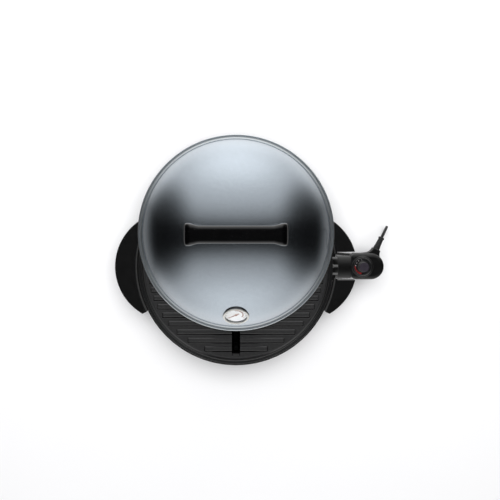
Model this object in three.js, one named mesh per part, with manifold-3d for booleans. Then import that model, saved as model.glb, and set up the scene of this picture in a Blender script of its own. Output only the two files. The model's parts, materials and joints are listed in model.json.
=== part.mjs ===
// A round electric grill: a ribbed plate in a plastic base, a lift-off dome lid with a temperature
// gauge, and a plug-in thermostat on a mains lead.
// Lengths are in millimetres. +Z is up, +X points to the thermostat and -Y is the front.
// The pieces are made about the plate's axis, x = 0 and y = 0, with the table at z = 0.
import * as THREE from 'three';
import { mergeVertices } from 'three/addons/utils/BufferGeometryUtils.js';
import Module from 'manifold-3d';

const wasm = await Module();
wasm.setup();

// Driving dimensions
const gap = 0.3;              // clearance between pieces that touch
const roundSteps = 36;        // facets round a large turned piece
const smallSteps = 24;        // and round a middling one
const rimTop = 100;           // top of the plate's rim
const plateRadius = 228;
const plateFloor = 89;        // cooking surface between the ribs
const plateUnder = 84.2;      // underside of the plate
const ribTop = 93.4;
const ribPitch = 20;
const ribWidth = 9.5;
const ribPhase = 6;           // how far the middle rib lies behind the plate's axis
const ribFieldRadius = 207.5; // circle on which the ribs end
const troughHalfWidth = 9.5;
const slotHalfWidth = 4.2;
const slotFront = -198;
const slotBack = -124;
const bowlRadius = 232;
const bowlBottom = 36;
const bowlWall = 3.3;
const lidShift = 81;          // the lid stands this far behind the plate's axis
const lidFlangeRadius = 230.6;
const lidMouthRadius = 223;   // where the dome meets its flange
const lidBottom = rimTop + 0.6;
const lidRise = 152;          // top of the dome above the plate's rim
const domeRadius = 241;
const domeWall = 1.3;
const lidHandleHalf = 107.5;  // half the length of the lid's handle
const lidLegX = 99;           // legs and screws of the lid's handle
const lidHandleTop = 290;
const legFoot = 238;          // where the handle's legs end on their spacers
const gaugeTilt = THREE.MathUtils.degToRad(46.5);
const terminalZ = 70;         // axis of the terminals, the sensor and the lead
const terminalY = 19;         // each terminal's distance from the sensor
const elementRadius = 108;
const elementZ = 76;
const sheathRadius = 4;
const pinRadius = 2.4;
const rodRadius = 2.6;
const bayHalfWidth = 33;      // the opening in the bowl for the terminals
const noseStart = 242;
const bodyStart = 274;
const bodyHalfWidth = 31;
const bodyEndX = 321;         // centre of the controller's round end
const bodyBottom = 48;
const bodyTop = 90;
const knobX = 300;
const handleCentre = 157.4;   // centre of a side handle's outer arc
const handleArc = 131;
const handleInner = 239.5;
const legRadius = 148;        // distance of the legs from the plate's axis
const legTop = bowlBottom - gap;
const footHeight = 7.6;
const handleWebOuter = 246;
const handleScrewZ = 59;
const reflectorSheet = 1.2;
const trayHalfWidth = 50;
const trayFront = -200;
const trayBack = -8;
const trayBottom = 10;
const trayTop = 31.5;
const traySheet = 1.8;
const cordRadius = 3.25;
const coilX = 120;            // the coil lies under the base, beside the tray
const coilInner = 28;
const coilOuter = 48;
const coilBottom = 1.4;
const coilTop = 14.6;
const turnRadius = 44.5;      // outermost turn of the coil
const plugZ = 13.4;
const bladeSpacing = 12.7;

// Materials
const paint = (color, roughness, metalness) => () =>
  new THREE.MeshStandardMaterial({ color, roughness, metalness });
const blackPlastic = paint(0x1b1b1c, 0.42, 0);
const glossPlastic = paint(0x08080a, 0.12, 0);
const nonstick = paint(0x2e2e2f, 0.55, 0.3);
const lidPaint = paint(0x6f7a85, 0.25, 0.7);
const steel = paint(0xb4b6b8, 0.3, 1);
const chrome = paint(0xd8d9db, 0.1, 1);
const aluminised = paint(0xa7aaad, 0.4, 1);
const sheath = paint(0x4a4c4b, 0.5, 0.8);
const rubber = paint(0x19191a, 0.8, 0);
const dialFace = paint(0xe6e1da, 0.5, 0);
const redPaint = paint(0x8e2a20, 0.5, 0);
const clearGlass = paint(0xdfe6ea, 0.05, 0);
const cordJacket = paint(0x1d1d1e, 0.6, 0);
const brass = paint(0xb8954f, 0.3, 1);

// A geometry with shared vertices, no flat triangles and its faces pointing out.
function weld(geometry) {
  const bare = geometry.clone();
  bare.deleteAttribute('normal');
  bare.deleteAttribute('uv');
  const welded = mergeVertices(bare, 1e-4);
  const at = welded.attributes.position;
  const corner = (i) => new THREE.Vector3().fromBufferAttribute(at, i);
  const kept = [];
  let volume = 0;
  for (let i = 0; i < welded.index.count; i += 3) {
    const [a, b, c] = [0, 1, 2].map((k) => welded.index.getX(i + k));
    if (a === b || b === c || c === a) continue;
    kept.push(a, b, c);
    volume += corner(a).dot(corner(b).cross(corner(c)));
  }
  if (volume < 0) kept.reverse();
  welded.setIndex(kept);
  return welded;
}

function toSolid(geometry) {
  const welded = weld(geometry);
  const vertProperties = new Float32Array(welded.attributes.position.array);
  const triVerts = new Uint32Array(welded.index.array);
  return new wasm.Manifold(new wasm.Mesh({ numProp: 3, vertProperties, triVerts }));
}

function fromSolid(solid) {
  const mesh = solid.getMesh();
  const geometry = new THREE.BufferGeometry();
  geometry.setAttribute('position', new THREE.BufferAttribute(new Float32Array(mesh.vertProperties), 3));
  geometry.setIndex(new THREE.BufferAttribute(new Uint32Array(mesh.triVerts), 1));
  geometry.computeVertexNormals();
  return geometry;
}

const join = (...parts) => fromSolid(parts.map(toSolid).reduce((whole, part) => whole.add(part)));
const cut = (body, ...tools) =>
  fromSolid(tools.map(toSolid).reduce((whole, tool) => whole.subtract(tool), toSolid(body)));
const overlap = (body, tool) => fromSolid(toSolid(body).intersect(toSolid(tool)));

// A solid of revolution about +Z from [radius, height] points.
function turned(profile, steps = roundSteps) {
  const points = profile.map(([r, z]) => new THREE.Vector2(r, z));
  return new THREE.LatheGeometry(points, steps).rotateX(Math.PI / 2);
}

// The same with a profile that doesn't reach the axis: its last point joins its first.
const turnedRing = (profile, steps = roundSteps) => turned([...profile, profile[0]], steps);

function block(x0, x1, y0, y1, z0, z1) {
  const box = new THREE.BoxGeometry(x1 - x0, y1 - y0, z1 - z0);
  return box.translate((x0 + x1) / 2, (y0 + y1) / 2, (z0 + z1) / 2);
}

function post(radius, z0, z1, steps = 20, topRadius = radius) {
  const cylinder = new THREE.CylinderGeometry(topRadius, radius, z1 - z0, steps);
  return cylinder.rotateX(Math.PI / 2).translate(0, 0, (z0 + z1) / 2);
}

// A post lying along +X.
function barX(radius, x0, x1, y, z, steps = 16) {
  return post(radius, x0, x1, steps).rotateY(Math.PI / 2).translate(0, y, z);
}

// A flat shape raised to a height, with its edges rounded by a bevel.
function raised(shape, z0, z1, bevel = 0, bevelSegments = 2, curveSegments = 10) {
  const geometry = new THREE.ExtrudeGeometry(shape, {
    depth: z1 - z0 - 2 * bevel,
    bevelEnabled: bevel > 0,
    bevelThickness: bevel,
    bevelSize: bevel,
    bevelOffset: -bevel,
    bevelSegments,
    curveSegments,
  });
  return geometry.translate(0, 0, z0 + bevel);
}

// A shape drawn in y and z, pushed along +X.
const alongX = new THREE.Matrix4().makeBasis(
  new THREE.Vector3(0, 1, 0), new THREE.Vector3(0, 0, 1), new THREE.Vector3(1, 0, 0));
// A shape drawn in x and z, pushed along -Y.
const alongY = new THREE.Matrix4().makeBasis(
  new THREE.Vector3(1, 0, 0), new THREE.Vector3(0, 0, 1), new THREE.Vector3(0, -1, 0));

function polygon(points) {
  return new THREE.Shape(points.map(([x, y]) => new THREE.Vector2(x, y)));
}

// A rounded bar section: a superellipse about (0, 0).
function softSection(halfWidth, halfHeight, steps = 28) {
  const corner = 2 / 3;
  const side = (value) => Math.sign(value) * Math.abs(value) ** corner;
  const points = [];
  for (let i = 0; i < steps; i += 1) {
    const turn = (2 * Math.PI * i) / steps;
    points.push([halfWidth * side(Math.cos(turn)), halfHeight * side(Math.sin(turn))]);
  }
  return polygon(points);
}

// A round tube along a smooth curve through points.
function tube(points, radius, sides, steps) {
  const section = [];
  for (let i = 0; i < sides; i += 1) {
    const turn = (2 * Math.PI * i) / sides;
    section.push([radius * Math.cos(turn), radius * Math.sin(turn)]);
  }
  const path = new THREE.CatmullRomCurve3(points.map(([x, y, z]) => new THREE.Vector3(x, y, z)));
  return new THREE.ExtrudeGeometry(polygon(section), { steps, extrudePath: path, bevelEnabled: false });
}

const group = new THREE.Group();

function add(name, geometry, material, parent = group) {
  const piece = new THREE.Mesh(weld(geometry), material());
  piece.name = name;
  parent.add(piece);
  return piece;
}

// Base

function bowlGeometry() {
  const shell = turned([
    [0, bowlBottom], [170, bowlBottom], [196, 43], [216, 59], [227, 79], [231, 92], [bowlRadius, 97.6],
    [229, 97.6], [229, 94.4], [222.5, 94.4], [222.5, 91], [227.3, 91], [223.6, 80], [213, 61.5],
    [194.5, 46], [169.5, bowlBottom + bowlWall], [0, bowlBottom + bowlWall],
  ]);
  const drain = block(-24, 24, -200, -72, 30, 60);
  const bay = block(205, 240, -bayHalfWidth, bayHalfWidth, 60, 110);
  const screwHoles = handleScrewPlaces.map(({ turn }) => radialBar(2.5, 200, 235, turn));
  return cut(shell, drain, bay, ...screwHoles);
}

const handleScrewPlaces = [
  { name: 'right_handle_screw_front', turn: -22 },
  { name: 'right_handle_screw_rear', turn: 22 },
  { name: 'left_handle_screw_rear', turn: 158 },
  { name: 'left_handle_screw_front', turn: 202 },
];

// A bar that points away from the plate's axis, turned by degrees about it.
function radialBar(radius, from, to, degrees, steps = 16) {
  return barX(radius, from, to, 0, handleScrewZ, steps).rotateZ(THREE.MathUtils.degToRad(degrees));
}

// A side handle: a crescent grip on a web that reaches in to the bowl.
function handleGeometry(screwTurns) {
  const arcTurn = THREE.MathUtils.degToRad(60);
  const innerTurn = THREE.MathUtils.degToRad(27);
  const crescent = new THREE.Shape();
  crescent.absarc(handleCentre, 0, handleArc, -arcTurn, arcTurn, false);
  crescent.absarc(0, 0, handleInner, innerTurn, -innerTurn, true);
  const grip = raised(crescent, 60, 84, 3.5, 1, 12);
  const web = new THREE.Shape();
  web.absarc(0, 0, handleWebOuter, -innerTurn, innerTurn, false);
  web.absarc(0, 0, 218.6, innerTurn, -innerTurn, true);
  const bores = screwTurns.map((turn) => radialBar(2.4, 210, 233, turn));
  return cut(join(grip, raised(web, 56, 61.6, 0, 1, 8)), ...bores);
}

function buildBase() {
  add('base_bowl', bowlGeometry(), blackPlastic);
  const handle = handleGeometry([-22, 22]);
  const notch = block(240.5, 300, -34.5, 34.5, 40, 110);
  const pinRoom = block(200, 241, -30, 30, 62.6, 110);
  add('right_handle', cut(handle, notch, pinRoom), blackPlastic);
  add('left_handle', handle, blackPlastic).rotation.z = Math.PI;
  for (const { name, turn } of handleScrewPlaces) {
    add(name, join(radialBar(3, 203.2, 205.8, turn), radialBar(1.9, 205, 231.5, turn)), steel);
  }
  for (const [end, y] of [['front', -1], ['rear', 1]]) {
    for (const [side, x] of [['left', -1], ['right', 1]]) {
      const at = [x * legRadius * Math.SQRT1_2, y * legRadius * Math.SQRT1_2, 0];
      const leg = post(15, footHeight + gap, legTop, 20, 20);
      add(`leg_${end}_${side}`, leg, blackPlastic).position.set(...at);
      add(`foot_${end}_${side}`, post(14.5, 0, footHeight, 20, 16), rubber).position.set(...at);
    }
  }
}

// Heater

function reflectorGeometry() {
  const floor = bowlBottom + bowlWall + gap;
  const pan = turned([
    [0, floor], [163, floor], [184, 46], [198, 60], [209, 80], [214, 80.6], [214, 81.8],
    [208.2, 81.2], [196.8, 60.6], [183.2, 47.2], [162.6, floor + reflectorSheet],
    [0, floor + reflectorSheet],
  ]);
  const drain = block(-20, 20, -203, -76, 30, 60);
  const bay = block(180, 225, -28, 28, 60, 95);
  return cut(pan, drain, bay);
}

// The heating element's route: in from one terminal, round under the plate and out to the other.
function elementRoute() {
  const lead = [[206, 70], [192, 70.4], [172, 72], [150, 75]];
  const spread = [terminalY, terminalY, 20, 24.5];
  const rear = lead.map(([x, z], i) => [x, spread[i], z]);
  const ring = [];
  for (let degrees = 28; degrees <= 332; degrees += 19) {
    const turn = THREE.MathUtils.degToRad(degrees);
    ring.push([elementRadius * Math.cos(turn), elementRadius * Math.sin(turn), elementZ]);
  }
  const front = rear.map(([x, y, z]) => [x, -y, z]).reverse();
  return [...rear, ...ring, ...front];
}

function clipGeometry() {
  const floor = bowlBottom + bowlWall + gap + reflectorSheet + gap;
  const eye = post(6.2, -4, 4, 16).rotateX(Math.PI / 2).translate(elementRadius, 0, elementZ);
  const hole = post(4.6, -6, 6, 16).rotateX(Math.PI / 2).translate(elementRadius, 0, elementZ);
  const strip = block(elementRadius - 1, elementRadius + 1, -4, 4, floor, elementZ - 4.8);
  const pad = block(elementRadius - 9, elementRadius + 1, -4, 4, floor, floor + 1.5);
  return cut(join(eye, strip, pad), hole);
}

function buildHeater() {
  add('heat_reflector', reflectorGeometry(), aluminised);
  add('heating_element', tube(elementRoute(), sheathRadius, 8, 40), sheath);
  for (const [name, degrees] of [['element_clip_rear', 100], ['element_clip_front', 232]]) {
    add(name, clipGeometry(), steel).rotation.z = THREE.MathUtils.degToRad(degrees);
  }
  const holes = [-terminalY, terminalY].map((y) => barX(pinRadius + 0.5, 210, 230, y, terminalZ));
  const tubeHole = barX(4.7, 210, 230, 0, terminalZ);
  const bracket = cut(block(219, 221.5, -31, 31, 62.2, 88.5), ...holes, tubeHole);
  add('terminal_bracket', bracket, steel);
  for (const [name, y] of [['terminal_pin_front', -terminalY], ['terminal_pin_rear', terminalY]]) {
    const tip = barX(pinRadius * 0.7, 255, 258, y, terminalZ);
    add(name, join(barX(pinRadius, 206 + gap, 256, y, terminalZ), tip), chrome);
  }
  const well = turnedRing([[3.2, 188], [4.2, 188], [4.2, 234], [3.2, 234]], 16);
  add('sensor_guide_tube', well.rotateY(Math.PI / 2).translate(0, 0, terminalZ), chrome);
}

// Drip tray and its rails

function trayGeometry() {
  const inside = trayHalfWidth - traySheet;
  const outer = block(-trayHalfWidth, trayHalfWidth, trayFront, trayBack, trayBottom, trayTop);
  const [front, back] = [trayFront + traySheet, trayBack - traySheet];
  const inner = block(-inside, inside, front, back, trayBottom + traySheet, 60);
  const lipOuter = block(-57, 57, trayFront, trayBack, trayTop - 1.5, trayTop);
  const lipInner = block(-inside - 0.8, inside + 0.8, trayFront + 1, trayBack - 1, 20, 60);
  const grip = block(-32, 32, trayFront - 12, trayFront + 1.7, trayTop - 4, trayTop);
  return join(cut(outer, inner), cut(lipOuter, lipInner), grip);
}

// A Z-shaped rail: its lower flange holds the tray's lip and its upper one is fixed to the bowl.
function buildRails() {
  const section = polygon([
    [52, 26], [60, 26], [60, 33.7], [66, 33.7], [66, 35.7], [58, 35.7], [58, 28], [52, 28],
  ]);
  const railLength = 156;
  const railBack = -14;
  const middle = railBack - railLength / 2;
  const rail = raised(section, 0, railLength).applyMatrix4(alongY).translate(0, railLength / 2, 0);
  add('tray_rail_left', rail.clone().rotateZ(Math.PI).translate(0, middle, 0), steel);
  add('tray_rail_right', rail.translate(0, middle, 0), steel);
}

// Grill plate

function ribGeometry(y) {
  const half = Math.sqrt(ribFieldRadius ** 2 - y ** 2);
  const foot = ribWidth / 2 + 0.6;
  const crest = ribWidth / 2 - 0.6;
  const root = plateFloor - 2.5;
  const side = polygon([[-foot, root], [foot, root], [crest, ribTop], [-crest, ribTop]]);
  return raised(side, -half, half).applyMatrix4(alongX).translate(0, y, 0);
}

function plateGeometry() {
  const disc = turned([
    [0, plateFloor], [208, plateFloor], [214, 90], [217.4, 94.5], [218.6, 98.2], [219.8, 99.2],
    [221, 98.2], [222, 96.8], [223.4, 96.8], [224.6, 99.2], [226.2, rimTop], [227.6, 99],
    [plateRadius, 96.6], [plateRadius, 94.7], [221.6, 94.7], [218.6, 90], [215.6, 85.4],
    [209, plateUnder], [0, plateUnder],
  ]);
  const ribs = [];
  for (let i = -10; i <= 9; i += 1) ribs.push(ribGeometry(ribPhase + i * ribPitch));
  const [wide, narrow] = [troughHalfWidth, slotHalfWidth];
  const section = polygon([
    [-wide, ribTop + 2], [-wide, plateFloor - 0.4], [-narrow - 1.2, plateUnder + 2.2],
    [narrow + 1.2, plateUnder + 2.2], [wide, plateFloor - 0.4], [wide, ribTop + 2],
  ]);
  const troughLength = 408;
  const trough = raised(section, 0, troughLength).applyMatrix4(alongY).translate(0, troughLength / 2, 0);
  const slot = block(-narrow, narrow, slotFront, slotBack, 70, 110);
  return cut(join(disc, ...ribs), trough, slot);
}

// Lid

// The dome's sphere is centred this far above the table.
const domeCentreZ = rimTop + lidRise - domeRadius;

// A point on the dome as [radius, height], turned down from its top.
function domePoint(turn, radius = domeRadius) {
  return [radius * Math.sin(turn), domeCentreZ + radius * Math.cos(turn)];
}

function domeGeometry() {
  const steps = 7;
  const mouthTurn = Math.asin(lidMouthRadius / domeRadius);
  const outer = [];
  const inner = [];
  for (let i = 0; i <= steps; i += 1) {
    outer.push(domePoint((mouthTurn * i) / steps));
    inner.push(domePoint((mouthTurn * i) / steps, domeRadius - domeWall));
  }
  outer[0][0] = 0;
  inner[0][0] = 0;
  const flange = [
    [225.5, 102.2], [229.6, 102.4], [lidFlangeRadius, 101.5], [229.8, lidBottom], [221.6, lidBottom],
  ];
  const shell = turned([...outer, ...flange, ...inner.reverse()]);
  const screwHoles = [-lidLegX, lidLegX].map((x) => post(2.6, 200, 260, 12).translate(x, 0, 0));
  const stemHole = post(4.9, -30, 30, 16).applyMatrix4(gaugeMatrix());
  return cut(shell, ...screwHoles, stemHole);
}

// The gauge's own frame: its origin on the dome, its axis square to the dome.
function gaugeMatrix() {
  const [reach, height] = domePoint(gaugeTilt);
  return new THREE.Matrix4().makeRotationX(gaugeTilt).setPosition(0, -reach, height);
}

function lidHandleGeometry() {
  const under = lidHandleTop - 11;
  const outline = new THREE.Shape();
  outline.moveTo(-lidHandleHalf, legFoot);
  outline.lineTo(-lidHandleHalf, lidHandleTop - 8);
  outline.quadraticCurveTo(-lidHandleHalf, lidHandleTop - 1, -lidHandleHalf + 9, lidHandleTop - 1);
  outline.quadraticCurveTo(0, lidHandleTop + 1, lidHandleHalf - 9, lidHandleTop - 1);
  outline.quadraticCurveTo(lidHandleHalf, lidHandleTop - 1, lidHandleHalf, lidHandleTop - 8);
  outline.lineTo(lidHandleHalf, legFoot);
  outline.lineTo(lidHandleHalf - 17, legFoot);
  outline.lineTo(lidHandleHalf - 17, under - 12);
  outline.quadraticCurveTo(lidHandleHalf - 18, under, lidHandleHalf - 32, under);
  outline.lineTo(-lidHandleHalf + 32, under);
  outline.quadraticCurveTo(-lidHandleHalf + 18, under, -lidHandleHalf + 17, under - 12);
  outline.lineTo(-lidHandleHalf + 17, legFoot);
  const bar = raised(outline, -24, 24, 2.5, 2, 5).applyMatrix4(alongY);
  // Seen from above, the bar is widest at its ends and drawn in along its middle.
  const endWidth = 24.2;
  const midWidth = 19.2;
  const bend = lidHandleHalf - 14;
  const straight = lidHandleHalf - 40;
  const plan = new THREE.Shape();
  plan.moveTo(-lidHandleHalf, -endWidth);
  plan.quadraticCurveTo(-bend, -midWidth, -straight, -midWidth);
  plan.lineTo(straight, -midWidth);
  plan.quadraticCurveTo(bend, -midWidth, lidHandleHalf, -endWidth);
  plan.lineTo(lidHandleHalf, endWidth);
  plan.quadraticCurveTo(bend, midWidth, straight, midWidth);
  plan.lineTo(-straight, midWidth);
  plan.quadraticCurveTo(-bend, midWidth, -lidHandleHalf, endWidth);
  const bores = [-lidLegX, lidLegX].map((x) => post(2.4, 230, 259, 12).translate(x, 0, 0));
  return cut(overlap(bar, raised(plan, 220, 300, 0, 1, 5)), ...bores);
}

function buildLid() {
  const lid = new THREE.Group();
  lid.position.y = lidShift;
  group.add(lid);
  add('lid_dome', domeGeometry(), lidPaint, lid);
  add('lid_handle', lidHandleGeometry(), glossPlastic, lid);
  const ball = new THREE.SphereGeometry(domeRadius + gap, 64, 48).rotateX(Math.PI / 2);
  ball.translate(0, 0, domeCentreZ);
  for (const [side, x] of [['left', -lidLegX], ['right', lidLegX]]) {
    const bore = post(2.4, 210, 250, 12).translate(x, 0, 0);
    const sleeve = cut(post(8, 220, legFoot - gap).translate(x, 0, 0), ball, bore);
    add(`lid_handle_spacer_${side}`, sleeve, blackPlastic, lid);
    const screw = join(post(5, 220.5, 224), post(2, 223.5, 256, 12));
    add(`lid_handle_screw_${side}`, screw.translate(x, 0, 0), steel, lid);
  }
  buildGauge(lid);
}

function buildGauge(lid) {
  const gauge = new THREE.Group();
  gauge.applyMatrix4(gaugeMatrix());
  lid.add(gauge);
  // The cup's underside follows the dome.
  const under = (radius) => [radius, gap - radius ** 2 / (2 * domeRadius)];
  const cup = turnedRing([
    under(4.4), under(16), under(27.6), [29.2, 0], [29.2, 8.6], [28.6, 10.2], [26.2, 10.2],
    [26.2, 2.4], [4.4, 2.4],
  ], smallSteps);
  add('gauge_housing', cup, glossPlastic, gauge);
  const stem = turned([
    [0, -42], [3, -42], [3.9, -40], [3.9, 2.7], [7, 2.7], [7, 4.2], [1.5, 4.2], [1.5, -36], [0, -36],
  ], 16);
  add('gauge_stem', stem, steel, gauge);
  add('gauge_nut', cut(post(8, -7.5, -3.2, 6), post(4.3, -10, 0, 16)), steel, gauge);
  const dial = turnedRing([[1.6, 4.5], [25.8, 4.5], [25.8, 5.4], [1.6, 5.4]], smallSteps);
  add('gauge_dial', dial, dialFace, gauge);
  const needle = polygon([[-8, -1.2], [-8, 1.2], [-2, 1.6], [20, 0.4], [20, -0.4], [-2, -1.6]]);
  const pointer = join(post(0.9, -30, 6.5, 10), post(3, 5.8, 7, 16), raised(needle, 6, 6.8));
  add('gauge_pointer', pointer.rotateZ(THREE.MathUtils.degToRad(215)), redPaint, gauge);
  add('gauge_lens', post(25.8, 8.2, 9.8, smallSteps), clearGlass, gauge);
  const bezel = turnedRing([
    [24.4, 10.5], [28.8, 10.5], [28.2, 12.2], [26.6, 12.8], [25, 12.2],
  ], smallSteps);
  add('gauge_bezel', bezel, chrome, gauge);
}

// Thermostat controller

// The way the lead leaves the controller, seen from above.
const neckAxis = new THREE.Vector2(0.436, 0.9);
const neckPoint = new THREE.Vector2(336.7, 40.7);

// Turns a piece made along +Z so that it lies along the lead's way out, with its origin at the neck.
function atNeck(geometry) {
  const across = new THREE.Vector3(-neckAxis.y, neckAxis.x, 0);
  const along = new THREE.Vector3(neckAxis.x, neckAxis.y, 0);
  const down = new THREE.Vector3(0, 0, -1);
  const basis = new THREE.Matrix4().makeBasis(across.normalize(), down, along.normalize());
  return geometry.applyMatrix4(basis).translate(neckPoint.x, neckPoint.y, terminalZ);
}

// A block with one half-round end, seen from above, drawn in by an inset.
function bodyOutline(inset = 0) {
  const half = bodyHalfWidth - inset;
  const outline = new THREE.Shape();
  outline.moveTo(bodyStart + inset, -half);
  outline.lineTo(bodyEndX, -half);
  outline.absarc(bodyEndX, 0, half, -Math.PI / 2, Math.PI / 2, false);
  outline.lineTo(bodyStart + inset, half);
  return outline;
}

// The shoulder that carries the lead out of the controller.
function neckOutline() {
  const outline = new THREE.Shape();
  outline.moveTo(300, 20);
  outline.lineTo(300, 31.2);
  outline.quadraticCurveTo(320, 31.6, 329, 44.5);
  outline.lineTo(344.5, 37);
  outline.quadraticCurveTo(341.5, 26, 347, 14);
  outline.lineTo(340, 8);
  return outline;
}

// Moves a piece made about the axis to the screw that holds the two shells together.
const atShellScrew = (geometry) => geometry.translate(337, -4, 0);

function shellGeometries() {
  const body = raised(bodyOutline(), bodyBottom, bodyTop, 6, 2, 10);
  const whole = join(body, raised(neckOutline(), 59, 81, 2, 1, 5));
  const cavity = raised(bodyOutline(2.8), bodyBottom + 2.6, bodyTop - 4.6, 0, 1, 8);
  const leadHole = atNeck(post(6.4, -24, 4));
  const rodHole = barX(rodRadius + 0.3, 250, 290, 0, terminalZ);
  const hollow = cut(whole, cavity, leadHole, rodHole);
  const halfSeam = gap / 2;
  const aboveSeam = block(260, 400, -90, 90, terminalZ - halfSeam, 120);
  const belowSeam = block(260, 400, -90, 90, 0, terminalZ + halfSeam);
  const dialSeat = post(21.4, bodyTop - 1.8, bodyTop + 4, smallSteps).translate(knobX, 0, 0);
  const shaftHole = post(3.4, bodyTop - 10, bodyTop + 4, 16).translate(knobX, 0, 0);
  const boss = atShellScrew(post(4.5, terminalZ + halfSeam, bodyTop - 4, 16));
  const bore = atShellScrew(post(1.9, terminalZ - 1, bodyTop - 8, 12));
  const upper = cut(join(cut(hollow, belowSeam), boss), dialSeat, shaftHole, bore);
  const lower = cut(hollow, aboveSeam, atShellScrew(post(1.9, 40, 60, 12)));
  return { upper, lower };
}

function buildController() {
  const { upper, lower } = shellGeometries();
  add('controller_upper_shell', upper, blackPlastic);
  add('controller_lower_shell', lower, blackPlastic);
  const screw = join(post(3.2, 45.6, 47.7, 12), post(1.6, 47, 78, 12));
  add('shell_screw', atShellScrew(screw), steel);
  buildShroud();
  buildThermostat();
  const scale = turnedRing([
    [12.4, bodyTop - 1.5], [20.7, bodyTop - 1.5], [20.7, bodyTop + 0.3], [12.4, bodyTop + 0.3],
  ], smallSteps);
  add('dial_scale_ring', scale.translate(knobX, 0, 0), blackPlastic);
  const relief = turned([
    [0, -14], [6, -14], [6, gap], [8, gap], [8, 3], [7.4, 8], [5.2, 30], [4.6, 31], [0, 31],
  ], 16);
  add('strain_relief', atNeck(relief), rubber);
  buildKnob();
}

// The controller's nose, open towards the terminals, and the two sleeves that grip them.
function buildShroud() {
  const midZ = (bodyBottom + bodyTop) / 2;
  const halfHeight = (bodyTop - bodyBottom) / 2;
  const wall = 3;
  const socketEnd = 262;
  const nose = raised(softSection(bodyHalfWidth, halfHeight), noseStart, bodyStart - gap);
  const socket = raised(softSection(bodyHalfWidth - wall, halfHeight - wall), noseStart - 5, socketEnd);
  const [outside, inside] = [nose, socket].map((shape) => shape.applyMatrix4(alongX).translate(0, 0, midZ));
  const rodHole = barX(rodRadius + 0.3, 240, 290, 0, terminalZ);
  add('controller_shroud', cut(outside, inside, rodHole), blackPlastic);
  for (const [name, y] of [['contact_sleeve_front', -terminalY], ['contact_sleeve_rear', terminalY]]) {
    const bore = pinRadius + 0.4;
    const [from, to] = [246, socketEnd - gap];
    const sleeve = turnedRing([[bore, from], [4.2, from], [4.2, to], [bore, to]], 16);
    add(name, sleeve.rotateY(Math.PI / 2).translate(0, y, terminalZ), brass);
  }
}

// The sensor rod presses on a bimetal blade, which a steel frame holds under the knob's shaft.
function buildThermostat() {
  const rod = join(barX(rodRadius, 186, 292, 0, terminalZ), barX(1.6, 183, 190, 0, terminalZ));
  add('sensor_rod', rod, chrome);
  const plate = block(282, 332, -12, 12, 51, 53);
  const wall = block(282, 284, -12, 12, 52, 74);
  const stand = block(318, 330, -7, 7, 52, 62);
  const rodHole = barX(rodRadius + 0.4, 270, 300, 0, terminalZ);
  add('thermostat_frame', cut(join(plate, wall, stand), rodHole), steel);
  const contact = post(2.2, 63, 65.5, 12).translate(knobX, 0, 0);
  add('bimetal_blade', join(block(292, 330, -3.5, 3.5, 62.3, 63.3), contact), brass);
}

function buildKnob() {
  const cap = turned([
    [0, bodyTop - 1.4], [12, bodyTop - 1.4], [12, 92], [11.4, 106], [10.4, 107.6], [0, 108],
  ], smallSteps);
  const socket = post(3.3, 80, 102, 12);
  add('control_knob', cut(cap, socket).translate(knobX, 0, 0), glossPlastic);
  const shaft = join(post(2.9, 79, 101.6, 12), post(5, 76, 79.4, 12));
  add('knob_shaft', shaft.translate(knobX, 0, 0), steel);
}

// Mains lead: a free stretch from the controller, then a coil with the plug beside it.

const cordRoute = [
  [350.6, 69.3, 70], [353.8, 75.9, 70], [357.6, 82.4, 69.4], [362.9, 89.8, 67.2], [369.2, 97.6, 62],
  [376, 104.6, 53], [381.4, 108.6, 40], [384.4, 108, 26], [384.6, 102.4, 14], [381.6, 93.4, 6.4],
  [376, 82.6, 3.7], [369.6, 71.6, 3.4], [362.4, 61, 3.4], [353, 50.6, 3.4], [341, 41.4, 3.4],
  [326, 33.8, 3.4], [308, 28.2, 3.4], [287, 25.2, 3.4], [262, 25.4, 3.4], [238, 28.4, 3.4],
  [214, 33, 3.5], [190, 38, 4], [168, 42.2, 4.5], [147, 44.3, 4.7],
];

function buildLead() {
  add('power_cord', tube(cordRoute, cordRadius, 8, 34), cordJacket);
  const coil = turnedRing([
    [coilInner, coilBottom], [coilOuter, coilBottom], [coilOuter, coilTop], [coilInner, coilTop],
  ], smallSteps);
  add('cord_coil', coil.translate(coilX, 0, 0), cordJacket);
  const loose = 0.6;
  const strap = cut(
    block(coilX - coilOuter - 1.8, coilX - coilInner + 2.2, -4, 4, 0.1, coilTop + 1.4),
    block(coilX - coilOuter - loose, coilX - coilInner + 1.2, -9, 9, coilBottom - gap, coilTop + gap));
  add('cord_tie', strap, rubber);
  const plugFace = 207;
  const plug = turned([
    [0, 148], [4.6, 148], [5.2, 151], [8, 172], [12.6, 177], [13.1, 180], [13.1, 200], [11.5, plugFace],
    [0, plugFace],
  ], 20);
  add('plug_body', plug.rotateY(Math.PI / 2).translate(0, -turnRadius, plugZ), rubber);
  for (const [name, side] of [['plug_blade_left', -1], ['plug_blade_right', 1]]) {
    const y = -turnRadius + (side * bladeSpacing) / 2;
    add(name, block(plugFace + gap, 225, y - 0.75, y + 0.75, plugZ + 0.6, plugZ + 7), brass);
  }
  add('plug_ground_pin', barX(2.4, plugFace + gap, 228, -turnRadius, plugZ - 6, 12), brass);
}

buildBase();
buildHeater();
add('drip_tray', trayGeometry(), aluminised);
buildRails();
add('grill_plate', plateGeometry(), nonstick);
buildLid();
buildController();
buildLead();

// The lead lies free, so the object is centred over its own pieces, without it.
const leadPieces = ['strain_relief', 'power_cord', 'cord_coil', 'cord_tie', 'plug_body', 'plug_blade_left',
  'plug_blade_right', 'plug_ground_pin'];
group.updateMatrixWorld(true);
const footprint = new THREE.Box3();
group.traverse((piece) => {
  if (piece.isMesh && !leadPieces.includes(piece.name)) footprint.expandByObject(piece, true);
});
const centre = footprint.getCenter(new THREE.Vector3());
group.position.set(-centre.x, -centre.y, 0);

export default group;
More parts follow.
